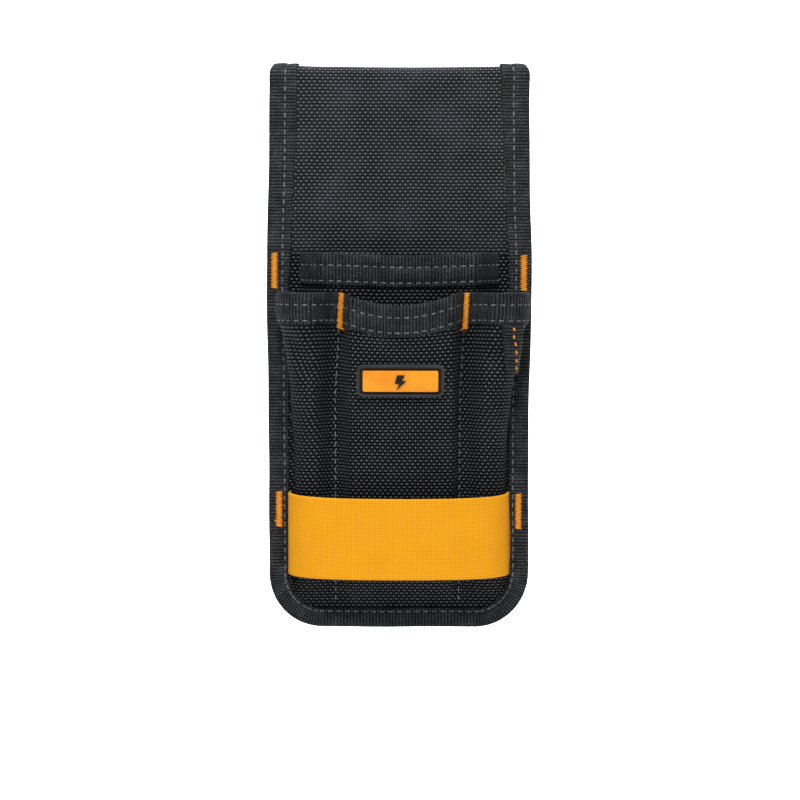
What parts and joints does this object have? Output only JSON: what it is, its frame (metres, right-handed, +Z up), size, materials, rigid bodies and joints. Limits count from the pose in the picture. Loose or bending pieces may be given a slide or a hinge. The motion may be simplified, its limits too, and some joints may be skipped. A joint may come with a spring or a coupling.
{
  "type": "electrician tool pouch",
  "caption": "Narrow belt-hung tool pouch with a folded belt tunnel, a rear pocket, a pleated front pocket with two sleeves, and an orange strap for a tape measure's clip.",
  "frame": {"origin": "middle of the belt tunnel behind the top of the pouch", "axes": "+Z up as the pouch hangs, -Y out of its front, +Y towards the wearer's hip, +X to the right of someone facing its front"},
  "size_m": [0.1202, 0.0491, 0.26],
  "materials": {
    "ballistic_nylon": "woven, matte",
    "binding_tape": "ribbed tape, matte",
    "lining_fabric": "plain weave, matte",
    "board": "matte",
    "orange_webbing": "woven webbing, matte",
    "orange_thread": "thread",
    "grey_thread": "thread",
    "badge_rubber": "satin",
    "badge_orange": "satin"
  },
  "bodies": {
    "root": {"back_panel": "ballistic_nylon", "stiffener_board": "board", "back_lining": "lining_fabric", "edge_binding": "binding_tape", "flap_hem": "binding_tape", "flap_tack_left": "orange_thread", "flap_tack_right": "orange_thread", "pliers_pocket": "ballistic_nylon", "pliers_hem": "binding_tape", "pliers_tack_left": "orange_thread", "pliers_tack_right": "orange_thread", "front_pocket": "ballistic_nylon", "front_hem": "binding_tape", "front_tack_left": "orange_thread", "front_tack_right": "orange_thread", "left_divider_seam": "grey_thread", "right_divider_seam": "grey_thread", "tape_clip_strap": "orange_webbing", "strap_tack_left": "orange_thread", "strap_tack_right": "orange_thread", "side_tab": "binding_tape", "tab_stitching": "orange_thread", "badge_base": "badge_rubber", "badge_plate": "badge_orange"}
  },
  "joints": []
}
